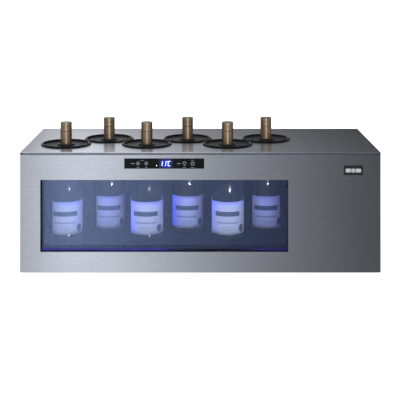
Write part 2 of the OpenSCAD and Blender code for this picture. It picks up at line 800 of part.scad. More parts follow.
// Hermetic shell with a weld band, a mounting plate and a starter box
module compressor() {
    r = shell_r;
    plate = 3;
    skin = 3.5;
    height = 142;
    heel = 20;          // radius of the shell's lower edge
    dome = 34;          // radius of its upper edge
    color("black") translate([machine_x, comp_y, comp_foot_z]) difference() {
        union() {
            rotate_extrude($fn = 96) polygon(concat(
                [[0, plate]], arc([r - heel, plate + heel], heel, -90, 0),
                arc([r - dome, height - dome], dome, 0, 90, 9), [[0, height]]));
            translate([0, 0, 66]) cylinder(h = 8, r = r + 2.5, $fn = 96);
            difference() {
                translate([-72, -55, 0]) cube([144, 110, plate]);
                for (i = [-1, 1], j = [-1, 1])
                    translate([i * 62, j * 45, -1]) cylinder(h = 8, r = 7.2);
            }
            translate([-r - 12, -24, 42]) cube([24, 48, 46]);
            translate([0, -20, 130]) cylinder(h = 24, r = 3.4, $fn = 24);
            translate([14, 18, 130]) cylinder(h = 24, r = 2.8, $fn = 24);
        }
        rotate_extrude($fn = 96) polygon(concat(
            [[0, plate + skin]], arc([r - heel, plate + heel], heel - skin, -90, 0),
            arc([r - dome, height - dome], dome - skin, 0, 90, 9), [[0, height - skin]]));
    }
}

module compressor_mounts() {
    color("dimgray") for (p = comp_bolts) translate([p.x, p.y, pan_top]) difference() {
        union() {
            cylinder(h = comp_foot_z - pan_top - 0.05, r = 11);
            cylinder(h = comp_foot_z - pan_top + 3.9, r = 7);
        }
        translate([0, 0, -1]) cylinder(h = 40, r = 3.2);
    }
}

module condenser() {
    color("peru") translate([machine_x - cond_w / 2, cond_y, cond_z - cond_h / 2])
        fin_coil([cond_w, cond_depth, cond_h], 24, 7, 4);
}

module condenser_fan_place() {
    translate([machine_x, cond_fan_y, cond_z]) rotate([-90, 0, 0]) children();
}

module condenser_fan_frame() {
    color("black") condenser_fan_place() fan_frame(cond_fan, 25);
}

module condenser_fan_rotor() {
    color("dimgray") condenser_fan_place() fan_rotor(cond_fan, 25);
}

module filter_drier() {
    color("peru") translate(drier) {
        translate([0, 0, -12]) cylinder(h = 12, r1 = 2.4, r2 = 9.5);
        cylinder(h = drier_len, r = 9.5);
        translate([0, 0, drier_len]) cylinder(h = 12, r1 = 9.5, r2 = 2.4);
    }
}

// Suction line, discharge line, liquid line and capillary
module refrigerant_lines() {
    stub = comp_foot_z + 154;
    row = evap.y + evap_size.y / 2;
    evap_out = [evap.x + evap_size.x + coil_stub, row, evap.z + 126];
    evap_in = [evap.x - coil_stub, row, evap.z + 14];
    drop = evap_fan_x - evap_fan / 2;
    coil_in = [machine_x + cond_w / 2 + coil_stub, cond_y + cond_depth / 2, cond_z + 84];
    coil_out = [machine_x - cond_w / 2 - coil_stub, cond_y + cond_depth / 2, cond_z - 84];
    low = drier.z - 20;
    high = bottom + 192;
    color("peru") {
        tube([evap_out, [drop - 12, row, evap_out.z], [drop - 12, suction_y, evap_out.z],
              [drop - 12, suction_y, pipe_z], [bulkhead_x + 14, suction_y, pipe_z],
              [bulkhead_x + 14, suction_y, high], [bulkhead_x + 14, comp_y - 20, high],
              [machine_x, comp_y - 20, high], [machine_x, comp_y - 20, stub]], 3.4);
        tube([[machine_x + 14, comp_y + 18, stub], [machine_x + 14, comp_y + 18, high - 8],
              [machine_x + 14, cond_y - 14, high - 8], [right - 14, cond_y - 14, high - 8],
              [right - 14, cond_y - 14, coil_in.z], [right - 14, coil_in.y, coil_in.z], coil_in], 2.8);
        tube([coil_out, coil_out - [6, 0, 0], [coil_out.x - 6, coil_out.y, low],
              [drier.x, drier.y, low], [drier.x, drier.y, drier.z - 12]], 2.4);
        tube([[drier.x, drier.y, drier.z + drier_len + 12], [drier.x, drier.y, pipe_z],
              [drier.x, capillary_y, pipe_z], [drop - 4, capillary_y, pipe_z],
              [drop - 4, capillary_y, evap.z - 7], [drop - 4, row, evap.z - 7],
              [evap_in.x - 8, row, evap.z - 7], [evap_in.x - 8, row, evap_in.z], evap_in], 1.2);
    }
}

// Open tray under the condenser that catches and dries the defrost water
module drip_tray() {
    x0 = machine_x - 70;
    x1 = machine_x + 38;
    y0 = comp_y + 62;
    y1 = rear - 20;
    color("dimgray") difference() {
        block([x0, y0, pan_top], [x1, y1, bottom + 20]);
        block([x0 + 2, y0 + 2, pan_top + 2], [x1 - 2, y1 - 2, top]);
    }
}

// ---------------------------------------------------------------- bottles

// Outside radius of the glass at height z above the bottle's foot
function glass_r(z) =
    z < shoulder_z ? bottle_r :
    z > neck_z ? neck_r :
    neck_r + (bottle_r - neck_r) * (1 + cos(180 * (z - shoulder_z) / (neck_z - shoulder_z))) / 2;

// Wall thickness, growing up the shoulder to leave the bore of the neck
function glass_t(z) = glass_wall + (neck_r - mouth_r - glass_wall)
    * min(1, max(0, (z - shoulder_z) / (neck_z - shoulder_z)));

module bottle(k) {
    steps = 16;
    shoulder = [for (i = [0:steps]) shoulder_z + (neck_z - shoulder_z) * i / steps];
    lip = bottle_h - 1;
    punt = 18;
    color("darkslategray") translate([well(k).x, well(k).y, bottle_z]) rotate_extrude($fn = 96)
        polygon(concat(
            [[0, punt], [12, punt - 1.5], [bottle_r - 10, 0]],
            arc([bottle_r - 5, 5], 5, -90, 0, 5),
            [for (z = shoulder) [glass_r(z), z]],
            [[neck_r, lip], [mouth_r, lip]],
            [for (i = [steps:-1:0]) [glass_r(shoulder[i]) - glass_t(shoulder[i]), shoulder[i]]],
            [[bottle_r - glass_wall, 9], [bottle_r - glass_wall - 4, 5],
             [12, punt + 3], [0, punt + 4.5]]
        ));
}

// Long metal cap over the neck, with two rolled grooves
module cap(k) {
    crown = 1.4;
    groove = 0.3;
    line = 0.15;
    color("rosybrown") translate([well(k).x, well(k).y, bottle_z + bottle_h]) rotate_extrude($fn = 96)
        polygon(concat(
            [[0, -0.8], [cap_r - cap_wall, -0.8], [cap_r - cap_wall, -cap_len], [cap_r, -cap_len],
             [cap_r, -23.8], [cap_r - groove, -23.4], [cap_r - groove, -22.6], [cap_r, -22.2],
             [cap_r, -11.6], [cap_r - line, -11.3], [cap_r - line, -10.7], [cap_r, -10.4]],
            arc([cap_r - crown, -crown], crown, 0, 90, 5),
            [[0, 0]]
        ));
}

base_pan();
rubber_feet();
front_panel();
left_side_panel();
right_side_panel();
top_panel();
rear_panel();
fasteners();
bulkhead();
foam_insulation();
inner_liner();
well_sleeves();
collar_rings();
window_gasket();
outer_glass();
inner_glass();
window_spacer();
bottle_rack();
control_lens();
control_housing();
control_board();
display_module();
badge();
led_strip();
led_cover();
evaporator();
evaporator_cover();
evaporator_fan_frame();
evaporator_fan_rotor();
temperature_probe();
drain_hose();
drip_tray();
compressor();
compressor_mounts();
condenser();
condenser_fan_frame();
condenser_fan_rotor();
filter_drier();
refrigerant_lines();
main_board();
power_inlet();
wiring_harness();
for (k = [0:well_n - 1]) {
    bottle(k);
    cap(k);
    neck_seal(k);
}
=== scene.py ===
"""Looks for a countertop bottle chiller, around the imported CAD: metals, glass, labels, controls and light."""
import math

import bmesh
import bpy
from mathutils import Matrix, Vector


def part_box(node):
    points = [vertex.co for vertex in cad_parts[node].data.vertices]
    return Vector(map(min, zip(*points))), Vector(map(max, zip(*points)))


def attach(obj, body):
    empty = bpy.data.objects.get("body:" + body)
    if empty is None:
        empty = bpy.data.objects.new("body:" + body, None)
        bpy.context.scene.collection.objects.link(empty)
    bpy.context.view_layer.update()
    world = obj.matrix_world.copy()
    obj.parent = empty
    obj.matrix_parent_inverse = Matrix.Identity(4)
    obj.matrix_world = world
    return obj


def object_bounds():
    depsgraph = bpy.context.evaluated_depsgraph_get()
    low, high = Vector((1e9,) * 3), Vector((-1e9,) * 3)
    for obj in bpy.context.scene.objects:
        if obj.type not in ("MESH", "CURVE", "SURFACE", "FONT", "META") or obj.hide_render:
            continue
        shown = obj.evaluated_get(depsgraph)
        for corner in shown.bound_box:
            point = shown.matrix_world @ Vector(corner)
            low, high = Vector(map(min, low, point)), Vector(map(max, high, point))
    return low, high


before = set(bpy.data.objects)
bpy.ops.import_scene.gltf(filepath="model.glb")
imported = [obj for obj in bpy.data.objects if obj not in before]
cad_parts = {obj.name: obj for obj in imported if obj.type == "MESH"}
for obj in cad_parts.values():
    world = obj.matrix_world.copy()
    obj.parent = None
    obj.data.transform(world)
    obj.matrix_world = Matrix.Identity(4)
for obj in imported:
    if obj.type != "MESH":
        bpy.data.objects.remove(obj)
cad_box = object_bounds()

MM = 0.001
BOTTLES = range(1, 7)

top_lo, top_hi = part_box("top_panel")
front_y = top_lo.y
lens_lo, lens_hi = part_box("control_lens")
glass_lo, glass_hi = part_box("outer_glass")
liner_lo, liner_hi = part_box("inner_liner")
badge_lo, badge_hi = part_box("badge")
LENS_FLANGE = 3 * MM                         # hidden edge of the touch strip's lens, behind the steel
STRIP_X0 = lens_lo.x + LENS_FLANGE           # left edge of the touch strip that shows
STRIP_MID = (lens_lo.z + lens_hi.z) / 2      # its mid height
STRIP_FACE = lens_lo.y                       # its front face


# ------------------------------------------------------------------ shader helpers

class Nodes:
    """Short calls that add nodes to one tree and wire them."""

    def __init__(self, tree):
        self.tree = tree

    def fill(self, node, values):
        """Give a node's inputs their values, or link them to other nodes' outputs."""
        for key, value in values.items():
            socket = node.inputs[key]
            if isinstance(value, bpy.types.NodeSocket):
                self.tree.links.new(value, socket)
            elif socket.type == "RGBA" and len(value) == 3:
                socket.default_value = (*value, 1.0)
            else:
                socket.default_value = value

    def node(self, kind, values=None, **settings):
        made = self.tree.nodes.new("ShaderNode" + kind)
        for key, value in settings.items():
            setattr(made, key, value)
        self.fill(made, values or {})
        return made

    def math(self, operation, a, b=0.0):
        return self.node("Math", {0: a, 1: b}, operation=operation).outputs[0]

    def radius(self, a, b):
        """Distance from the origin of a point at a, b."""
        return self.math("SQRT", self.math("ADD", self.math("MULTIPLY", a, a), self.math("MULTIPLY", b, b)))

    def ramp(self, fac, low, high, start=0.3, end=0.7):
        """fac from start to end mapped to low to high. Noise mostly stays between the default limits."""
        return self.node("MapRange", {"Value": fac, "From Min": start, "From Max": end,
                                      "To Min": low, "To Max": high}).outputs[0]


class Shader(Nodes):
    """A material built round one Principled surface."""

    def __init__(self, name, **principled):
        self.material = bpy.data.materials.new(name)
        self.material.use_nodes = True
        super().__init__(self.material.node_tree)
        self.surface = self.tree.nodes["Principled BSDF"]
        self.fill(self.surface, {key.replace("_", " "): value for key, value in principled.items()})

    def place(self):
        """Position in the part's own frame, in metres."""
        return self.node("TexCoord").outputs["Object"]

    def along(self, axis):
        """One coordinate of that position: 0, 1 or 2 for x, y or z."""
        return self.node("SeparateXYZ", {"Vector": self.place()}).outputs[axis]

    def stretched(self, scale):
        return self.node("Mapping", {"Vector": self.place(), "Scale": scale}).outputs[0]

    def noise(self, vector, scale=1.0, detail=3.0):
        return self.node("TexNoise", {"Vector": vector, "Scale": scale, "Detail": detail}).outputs["Fac"]

    def blend(self, fac, a, b, mode="MIX"):
        made = self.node("Mix", data_type="RGBA", blend_type=mode)
        self.fill(made, {0: fac, 6: a, 7: b})
        return made.outputs[2]

    def bump(self, height, distance, strength):
        return self.node("Bump", {"Height": height, "Distance": distance, "Strength": strength}).outputs[0]

    def band(self, value, low, high, soft):
        """1 where value is between low and high, 0 outside, with edges 2 x soft wide."""
        up = self.ramp(value, 0.0, 1.0, low - soft, low + soft)
        down = self.ramp(value, 1.0, 0.0, high - soft, high + soft)
        return self.math("MULTIPLY", up, down)


def shade(color, factor):
    return tuple(min(1.0, c * factor) for c in color)


def textured(name, color, rough, spread=0.25, scale=60.0, grain=2500.0, depth=0.02, **principled):
    """Moulded or painted surface: colour that drifts by spread, uneven gloss, and a fine stipple.
    scale and grain: waves of the drift and of the stipple per metre. depth: the stipple's, in mm."""
    s = Shader(name, **principled)
    place = s.place()
    slow = s.noise(place, scale, 4.0)
    fine = s.noise(place, grain, 2.0)
    s.fill(s.surface, {
        "Base Color": s.blend(s.ramp(slow, 0.0, 1.0), shade(color, 1 - spread), shade(color, 1 + spread)),
        "Roughness": s.ramp(slow, rough * 0.85, rough * 1.15),
        "Normal": s.bump(fine, depth * MM, 0.5),
    })
    return s.material


# ------------------------------------------------------------------ metals

STEEL_DARK, STEEL_LIGHT = (0.590, 0.620, 0.695), (0.665, 0.695, 0.770)
STEEL_MOTTLE = (0.30, 0.32, 0.36)
BRUSHED_ALONG_X = (6.0, 1100.0, 1100.0)      # waves of grain per metre in x, y and z
BRUSHED_ALONG_Y = (1100.0, 6.0, 1100.0)


def brushed_steel(name, grain_waves, across, rear_painted_shade=1.0):
    """Steel brushed along one axis: streaks at two scales, and highlights drawn out across the grain.
    rear_painted_shade: painted shade, a factor that darkens the colour towards the rear edge, where the
    reflection dims."""
    s = Shader(name, Metallic=1.0)
    coarse = s.noise(s.stretched(grain_waves), 1.0, 3.0)
    fine = s.noise(s.stretched([3 * waves for waves in grain_waves]), 1.0, 2.0)
    mottle = s.noise(s.stretched((110.0, 240.0, 240.0)), 1.0, 2.0)
    smudge = s.noise(s.place(), 9.0, 3.0)
    grain = s.math("ADD", s.math("MULTIPLY", coarse, 0.4), s.math("MULTIPLY", fine, 0.6))
    tangent = s.node("CombineXYZ", dict(enumerate(across))).outputs[0]
    steel = s.blend(s.ramp(grain, 0.0, 1.0), STEEL_DARK, STEEL_LIGHT)
    steel = s.blend(s.ramp(mottle, 0.0, 0.10), steel, STEEL_MOTTLE)
    # Painted shade: the colour is darkened towards the rear edge by rear_painted_shade.
    painted_rear_shade = s.blend(1.0, steel, (rear_painted_shade, rear_painted_shade, rear_painted_shade), "MULTIPLY")
    steel = s.blend(s.ramp(s.along(1), 0.0, 1.0, top_lo.y, top_hi.y), steel, painted_rear_shade)
    s.fill(s.surface, {
        "Base Color": steel,
        "Roughness": s.math("ADD", s.ramp(grain, 0.23, 0.27), s.ramp(smudge, -0.015, 0.015)),
        "Anisotropic": 0.9,
        "Tangent": tangent,
        "Normal": s.bump(coarse, 0.001 * MM, 0.5),
    })
    return s.material


def galvanised():
    """Zinc-coated sheet with pale crystal patches."""
    s = Shader("galvanised", Metallic=0.9)
    cells = s.node("TexVoronoi", {"Vector": s.place(), "Scale": 130.0}).outputs["Color"]
    tone = s.node("SeparateColor", {"Color": cells}).outputs[0]
    s.fill(s.surface, {
        "Base Color": s.blend(tone, (0.50, 0.52, 0.54), (0.60, 0.62, 0.64)),
        "Roughness": s.ramp(tone, 0.42, 0.50, 0.0, 1.0),
        "Normal": s.bump(s.noise(s.place(), 900.0), 0.01 * MM, 0.4),
    })
    return s.material


def bare_metal(name, color, rough):
    """Turned metal with fine tool lines round its upright axis."""
    s = Shader(name, Metallic=1.0)
    lines = s.noise(s.stretched((60.0, 60.0, 900.0)), 1.0, 3.0)
    tarnish = s.noise(s.place(), 30.0, 4.0)
    s.fill(s.surface, {
        "Base Color": s.blend(s.ramp(tarnish, 0.0, 1.0), shade(color, 0.75), color),
        "Roughness": s.ramp(lines, rough * 0.8, rough * 1.25),
        "Normal": s.bump(lines, 0.01 * MM, 0.4),
    })
    return s.material


def copper_lines():
    """Drawn copper tube. Inside the cold compartment it wears black insulation."""
    s = Shader("copper_lines")
    bare = s.math("GREATER_THAN", s.along(0), liner_hi.x)
    lines = s.noise(s.stretched((120.0, 120.0, 120.0)), 1.0, 3.0)
    tarnish = s.noise(s.place(), 30.0, 4.0)
    copper = s.blend(s.ramp(tarnish, 0.0, 1.0), (0.60, 0.34, 0.22), (0.80, 0.45, 0.30))
    insulation = s.blend(tarnish, (0.008, 0.008, 0.009), (0.020, 0.020, 0.022))
    s.fill(s.surface, {
        "Base Color": s.blend(bare, insulation, copper),
        "Metallic": bare,
        "Roughness": s.ramp(bare, 0.8, 0.3, 0.0, 1.0),
        "Normal": s.bump(lines, 0.03 * MM, 0.4),
    })
    return s.material


CAP_CRIMPS = ((11.0, 0.45), (23.0, 0.85))      # pressed lines: mm below the cap's top, and how strongly painted shade darkens each
CRIMP_HALF_WIDTH = 0.6 * MM
CAP_BARE_TOP = 1.0 * MM                        # how far down from its top a cap is bare


def cap_foil():
    """Bronze lacquered cap with a bare grey top: spun rings, upright wrinkles, painted shade in the pressed
    lines and at its sides.
    """
    s = Shader("cap_foil", Metallic=0.8)
    height = s.along(2)
    cap_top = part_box("cap_1")[1].z
    rings = s.noise(s.stretched((3.0, 3.0, 1400.0)), 1.0, 2.0)
    wrinkle = s.noise(s.stretched((260.0, 260.0, 14.0)), 1.0, 4.0)
    bare = s.band(height, cap_top - CAP_BARE_TOP, cap_top + CAP_BARE_TOP, 0.4 * MM)
    lacquer = s.blend(s.ramp(wrinkle, 0.0, 1.0), (0.27, 0.19, 0.12), (0.37, 0.27, 0.18))
    # Painted shade: the lacquer darkens towards the cap's sides, where it turns away from the camera.
    painted_edge_shade = s.node("LayerWeight", {"Blend": 0.5}).outputs["Facing"]
    lacquer = s.blend(s.ramp(painted_edge_shade, 0.0, 0.85, 0.05, 0.55), lacquer, (0.055, 0.038, 0.022))
    # Painted shade: each pressed line is darkened as if shaded in its crease.
    for depth, crease_shade in CAP_CRIMPS:
        crimp = cap_top - depth * MM
        line = s.band(height, crimp - CRIMP_HALF_WIDTH, crimp + CRIMP_HALF_WIDTH, 0.25 * MM)
        lacquer = s.blend(s.math("MULTIPLY", line, crease_shade), lacquer, (0.035, 0.024, 0.015))
    s.fill(s.surface, {
        "Base Color": s.blend(bare, lacquer, (0.20, 0.195, 0.18)),
        "Roughness": s.ramp(rings, 0.30, 0.40),
        "Normal": s.bump(s.math("ADD", rings, wrinkle), 0.02 * MM, 0.4),
    })
    return s.material


# ------------------------------------------------------------------ glass, rubber, boards

GLASS_FACE_ON = 0.043      # share of light that a glass surface reflects when seen face on


def window_glass(name, painted_glow):
    """Clear pane that reflects a little of the room, without bending light. It also gives off a faint painted
    blue glow, with no lamp behind it.
    """
    s = Shader(name)
    film = s.noise(s.place(), 14.0, 3.0)
    clear = s.node("BsdfTransparent", {"Color": (0.955, 0.970, 0.980)}).outputs[0]
    mirror = s.node("BsdfGlossy", {"Color": (0.46, 0.60, 1.0),
                                   "Roughness": s.ramp(film, 0.03, 0.08)}).outputs[0]
    turned = s.node("LayerWeight", {"Blend": 0.5}).outputs["Facing"]
    grazing = s.math("MULTIPLY", 1.0 - GLASS_FACE_ON, s.math("POWER", turned, 5.0))
    amount = s.math("MULTIPLY", s.math("ADD", GLASS_FACE_ON, grazing), s.ramp(film, 1.35, 1.55))
    mixed = s.node("MixShader", {0: amount, 1: clear, 2: mirror}).outputs[0]
    # Painted glow: the pane gives off faint blue light though it is no lamp.
    glow = s.node("Emission", {"Color": (0.30, 0.36, 1.0),
                               "Strength": s.ramp(film, 0.8 * painted_glow, 1.2 * painted_glow)}).outputs[0]
    with_painted_glow = s.node("AddShader", {0: mixed, 1: glow}).outputs[0]
    s.fill(s.tree.nodes["Material Output"], {"Surface": with_painted_glow})
    return s.material


def bottle_glass():
    """Dark green glass with wine behind it: near black face on, greener at its edges."""
    s = Shader("bottle_glass")
    edge = s.node("LayerWeight", {"Blend": 0.35}).outputs["Facing"]
    ripple = s.noise(s.place(), 45.0, 2.0)
    s.fill(s.surface, {
        "Base Color": s.blend(edge, (0.006, 0.006, 0.008), (0.030, 0.046, 0.036)),
        "Roughness": s.ramp(ripple, 0.05, 0.08),
        "Normal": s.bump(ripple, 0.02 * MM, 0.2),
        "IOR": 1.52,
        "Coat Weight": 0.12,
        "Coat Roughness": 0.25,
    })
    return s.material


def seal_rubber():
    """Satin black rubber with an uneven sheen."""
    s = Shader("seal_rubber")
    fine = s.noise(s.place(), 1800.0, 2.0)
    slow = s.noise(s.place(), 70.0, 3.0)
    s.fill(s.surface, {
        "Base Color": s.blend(slow, (0.012, 0.012, 0.014), (0.022, 0.023, 0.026)),
        "Roughness": s.ramp(slow, 0.36, 0.46),
        "Normal": s.bump(fine, 0.01 * MM, 0.4),
        "Specular IOR Level": 0.12,
    })
    return s.material


def foam():
    """Yellow poured foam with open cells."""
    s = Shader("foam", Roughness=0.9)
    cells = s.node("TexVoronoi", {"Vector": s.place(), "Scale": 900.0}).outputs["Distance"]
    slow = s.noise(s.place(), 12.0, 4.0)
    s.fill(s.surface, {
        "Base Color": s.blend(slow, (0.62, 0.50, 0.26), (0.80, 0.70, 0.44)),
        "Normal": s.bump(cells, 0.3 * MM, 0.6),
    })
    return s.material


def circuit_board():
    """Green board with patches of gold tracks."""
    s = Shader("circuit_board", Roughness=0.35)
    place = s.place()
    tracks = s.node("TexBrick", {"Vector": place, "Scale": 160.0, "Mortar Size": 0.03}).outputs["Fac"]
    islands = s.ramp(s.noise(place, 240.0, 1.0), 0.0, 1.0, 0.45, 0.5)
    s.fill(s.surface, {
        "Base Color": s.blend(s.math("MULTIPLY", tracks, islands), (0.010, 0.090, 0.035), (0.40, 0.30, 0.12)),
        "Normal": s.bump(tracks, 0.03 * MM, 0.5),
    })
    return s.material


def fin_metal():
    """Aluminium fins with a faint rolled texture and dust between them."""
    s = Shader("fin_metal", Metallic=0.85)
    rolled = s.noise(s.stretched((900.0, 40.0, 40.0)), 1.0, 3.0)
    dust = s.noise(s.place(), 25.0, 4.0)
    s.fill(s.surface, {
        "Base Color": s.blend(s.ramp(dust, 0.0, 1.0), (0.46, 0.46, 0.45), (0.74, 0.75, 0.76)),
        "Roughness": s.ramp(rolled, 0.28, 0.5),
        "Normal": s.bump(rolled, 0.02 * MM, 0.4),
    })
    return s.material


SILL = (4.6 * MM, 8.2 * MM)           # the painted light line's height above the spacer's lower edge
SILL_LEFT = (-0.45, -0.075)           # where along x it is bright
SILL_RIGHT = (0.12, 0.24)             # where along x it is dimmer


def spacer_glow():
    """Black spacer bar. Its emission paints the blue light that its sealant catches along the sill."""
    s = Shader("spacer_glow", Roughness=0.35)
    x = s.along(0)
    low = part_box("window_spacer")[0].z
    sill = s.band(s.along(2), low + SILL[0], low + SILL[1], 0.3 * MM)
    bright = s.band(x, *SILL_LEFT, 0.02)
    dim = s.math("MULTIPLY", s.band(x, *SILL_RIGHT, 0.03), 0.45)
    uneven = s.ramp(s.noise(s.stretched((22.0, 0.0, 0.0))), 0.75, 1.1)
    patches = s.math("MULTIPLY", s.math("ADD", bright, dim), uneven)
    s.fill(s.surface, {
        "Base Color": s.blend(s.noise(s.place(), 400.0), (0.004, 0.004, 0.006), (0.014, 0.014, 0.018)),
        "Emission Color": (0.12, 0.07, 1.0),
        # Painted light: the sill line glows blue though the spacer is no lamp.
        "Emission Strength": s.math("MULTIPLY", sill, s.math("MULTIPLY", patches, 0.30)),
    })
    return s.material


def led_board():
    """White board whose underside shines blue."""
    s = Shader("led_board", Roughness=0.4)
    lamp = s.band(s.along(2), liner_lo.z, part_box("led_strip")[0].z + 0.8 * MM, 0.1 * MM)
    s.fill(s.surface, {
        "Base Color": s.blend(s.noise(s.place(), 300.0), (0.55, 0.56, 0.58), (0.72, 0.73, 0.75)),
        "Emission Color": (0.10, 0.12, 1.0),
        "Emission Strength": s.math("MULTIPLY", lamp, 20.0),
    })
    return s.material


def led_diffuser():
    """Ribbed blue lamp cover. Shiny surfaces don't mirror its glow."""
    s = Shader("led_diffuser", Roughness=0.3)
    ribs = s.noise(s.stretched((700.0, 4.0, 4.0)), 1.0, 1.0)
    unseen = s.math("SUBTRACT", 1.0, s.node("LightPath").outputs["Is Glossy Ray"])
    s.fill(s.surface, {
        "Base Color": s.blend(ribs, (0.45, 0.50, 0.75), (0.60, 0.65, 0.90)),
        "Emission Color": (0.09, 0.10, 1.0),
        "Emission Strength": s.math("MULTIPLY", s.ramp(ribs, 13.0, 19.0), unseen),
        "Normal": s.bump(ribs, 0.1 * MM, 0.5),
    })
    return s.material


# ------------------------------------------------------------------ print and light

# A label's print, in millimetres: sideways from its middle, and up from its lower edge.
LEAF_BAND = (46.5, 58.5)                 # lower and upper edge
LOZENGE_ROW = (26.0, 33.0)
LABEL_RULES = ((58, 81.0, 82.0), (58, 78.0, 78.6), (58, 2.4, 3.2),       # half width, lower and upper edge
               (13, 19.5, 20.5), (16, 15.0, 16.0), (9, 10.5, 11.5))
SEAL_MIDDLE = (40.0, 14.5)
SEAL_RADII = (9.0, 10.5)


def label_paper(name, tone):
    """Off-white paper: a leaf band, a row of lozenges, rules long and short, and a dark oval seal."""
    s = Shader(name, Roughness=0.65)
    uv = s.node("UVMap", uv_map="label").outputs[0]
    u, v, _ = s.node("SeparateXYZ", {"Vector": uv}).outputs

    def box(half_width, low, high):
        return s.math("MULTIPLY", s.band(u, -half_width, half_width, 0.25), s.band(v, low, high, 0.25))

    def diamonds(pitch_u, pitch_v, base, size):
        """Diamonds that repeat at a pitch across and up, counted up from base."""
        across = s.math("MULTIPLY", s.math("PINGPONG", u, pitch_u / 2), 2.0 / pitch_u)
        up = s.math("PINGPONG", s.math("SUBTRACT", v, base), pitch_v / 2)
        return s.math("LESS_THAN", s.math("ADD", across, s.math("MULTIPLY", up, 2.0 / pitch_v)), size)

    def offset(value, middle, radius):
        return s.math("DIVIDE", s.math("SUBTRACT", value, middle), radius)

    def total(*masks):
        out = masks[0]
        for mask in masks[1:]:
            out = s.math("MAXIMUM", out, mask)
        return out

    leaves = s.math("MAXIMUM", diamonds(5.2, 6.0, LEAF_BAND[0], 1.15), 0.8)
    band = s.math("MULTIPLY", box(34, *LEAF_BAND), leaves)
    row = s.math("MULTIPLY", box(30, *LOZENGE_ROW), diamonds(4.4, 9.0, sum(LOZENGE_ROW) / 2, 0.8))
    rules = total(*[box(*rule) for rule in LABEL_RULES])
    r = s.radius(offset(u, SEAL_MIDDLE[0], SEAL_RADII[0]), offset(v, SEAL_MIDDLE[1], SEAL_RADII[1]))
    seal = s.math("MAXIMUM", s.math("LESS_THAN", r, 0.82), s.band(r, 0.9, 1.0, 0.02))
    fibre = s.noise(s.node("Mapping", {"Vector": uv, "Scale": (1.2, 4.0, 1.0)}).outputs[0], 1.0, 5.0)
    paper = s.blend(s.ramp(fibre, 0.0, 1.0), shade(tone, 0.92), tone)
    inked = s.blend(s.math("MULTIPLY", total(row, rules), 0.75), paper, (0.08, 0.10, 0.14))
    inked = s.blend(s.math("MULTIPLY", band, 0.95), inked, (0.02, 0.06, 0.07))
    raised = s.math("MULTIPLY", total(band, seal), 0.6)
    s.fill(s.surface, {
        "Base Color": s.blend(s.math("MULTIPLY", seal, 0.9), inked, (0.05, 0.06, 0.10)),
        "Normal": s.bump(s.math("ADD", fibre, raised), 0.06 * MM, 0.5),
    })
    return s.material


def ink(name, color, strength):
    """Printed mark that glows with the given strength."""
    s = Shader(name, Roughness=0.5)
    speck = s.noise(s.place(), 1500.0)
    s.fill(s.surface, {
        "Base Color": s.blend(speck, shade(color, 0.8), color),
        "Emission Color": color,
        "Emission Strength": s.ramp(speck, strength * 0.8, strength * 1.1),
    })
    return s.material


HALO_X = 104.0                 # middle of the halo, mm from the strip's left edge
HALO_RADII = (16.5, 13.5)      # across and up, mm


def display_glow():
    """Blue halo behind the digits, brightest in the middle of the display."""
    s = Shader("display_glow", Roughness=0.2)
    across = s.math("DIVIDE", s.math("SUBTRACT", s.along(0), STRIP_X0 + HALO_X * MM), HALO_RADII[0] * MM)
    up = s.math("DIVIDE", s.math("SUBTRACT", s.along(2), STRIP_MID), HALO_RADII[1] * MM)
    glow = s.ramp(s.radius(across, up), 1.0, 0.0, 0.35, 1.0)
    s.fill(s.surface, {
        "Base Color": s.blend(s.noise(s.place(), 500.0), (0.003, 0.003, 0.01), (0.006, 0.006, 0.02)),
        "Emission Color": (0.006, 0.018, 0.80),
        "Emission Strength": s.math("MULTIPLY", glow, 0.9),
    })
    return s.material


# ------------------------------------------------------------------ geometry helpers

def add_piece(name, bm, material, body, smooth=False):
    """Turn a bmesh into an object of one material that rides on a body."""
    mesh = bpy.data.meshes.new(name)
    bmesh.ops.recalc_face_normals(bm, faces=bm.faces)
    bm.to_mesh(mesh)
    bm.free()
    piece = bpy.data.objects.new(name, mesh)
    bpy.context.scene.collection.objects.link(piece)
    piece.data.materials.append(material)
    for p in mesh.polygons:
        p.use_smooth = smooth
    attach(piece, body)
    return piece


class FrontPrint:
    """Flat shapes printed on a front-facing surface: x and z in millimetres from an origin."""

    def __init__(self, x, y, z, thick=0.06):
        self.origin = Vector((x, y, z))
        self.thick = thick * MM
        self.bm = bmesh.new()

    def outline(self, points):
        """A flat plate with the given corners."""
        def layer(depth):
            return [self.bm.verts.new(self.origin + Vector((x * MM, depth, z * MM))) for x, z in points]
        near, far = layer(-self.thick), layer(0)
        self.bm.faces.new(near)
        self.bm.faces.new(far[::-1])
        for i in range(len(points)):
            j = (i + 1) % len(points)
            self.bm.faces.new((near[j], near[i], far[i], far[j]))

    def bar(self, x0, z0, x1, z1, w):
        """A straight bar with pointed ends, w wide."""
        a, b = Vector((x0, z0)), Vector((x1, z1))
        along = (b - a).normalized() * w / 2
        side = Vector((-along.y, along.x))
        ring = [a - along, a - side, b - side, b + along, b + side, a + side]
        self.outline([tuple(p) for p in ring])

    def ray(self, x, z, turn, start, end, w):
        """A bar that points away from x, z at an angle in degrees, from one radius to another."""
        c, n = math.cos(math.radians(turn)), math.sin(math.radians(turn))
        self.bar(x + start * c, z + start * n, x + end * c, z + end * n, w)

    def arc(self, x, z, r, w, start=0.0, end=360.0, steps=28):
        """Part of a ring, w wide, from start to end degrees."""
        def at(radius, i):
            t = math.radians(start + (end - start) * i / steps)
            return (x + radius * math.cos(t), z + radius * math.sin(t))
        for i in range(steps):
            self.outline([at(r - w / 2, i), at(r + w / 2, i), at(r + w / 2, i + 1), at(r - w / 2, i + 1)])

    def dot(self, x, z, r, sides=16):
        turns = [2 * math.pi * i / sides for i in range(sides)]
        self.outline([(x + r * math.cos(t), z + r * math.sin(t)) for t in turns])


# ------------------------------------------------------------------ pieces

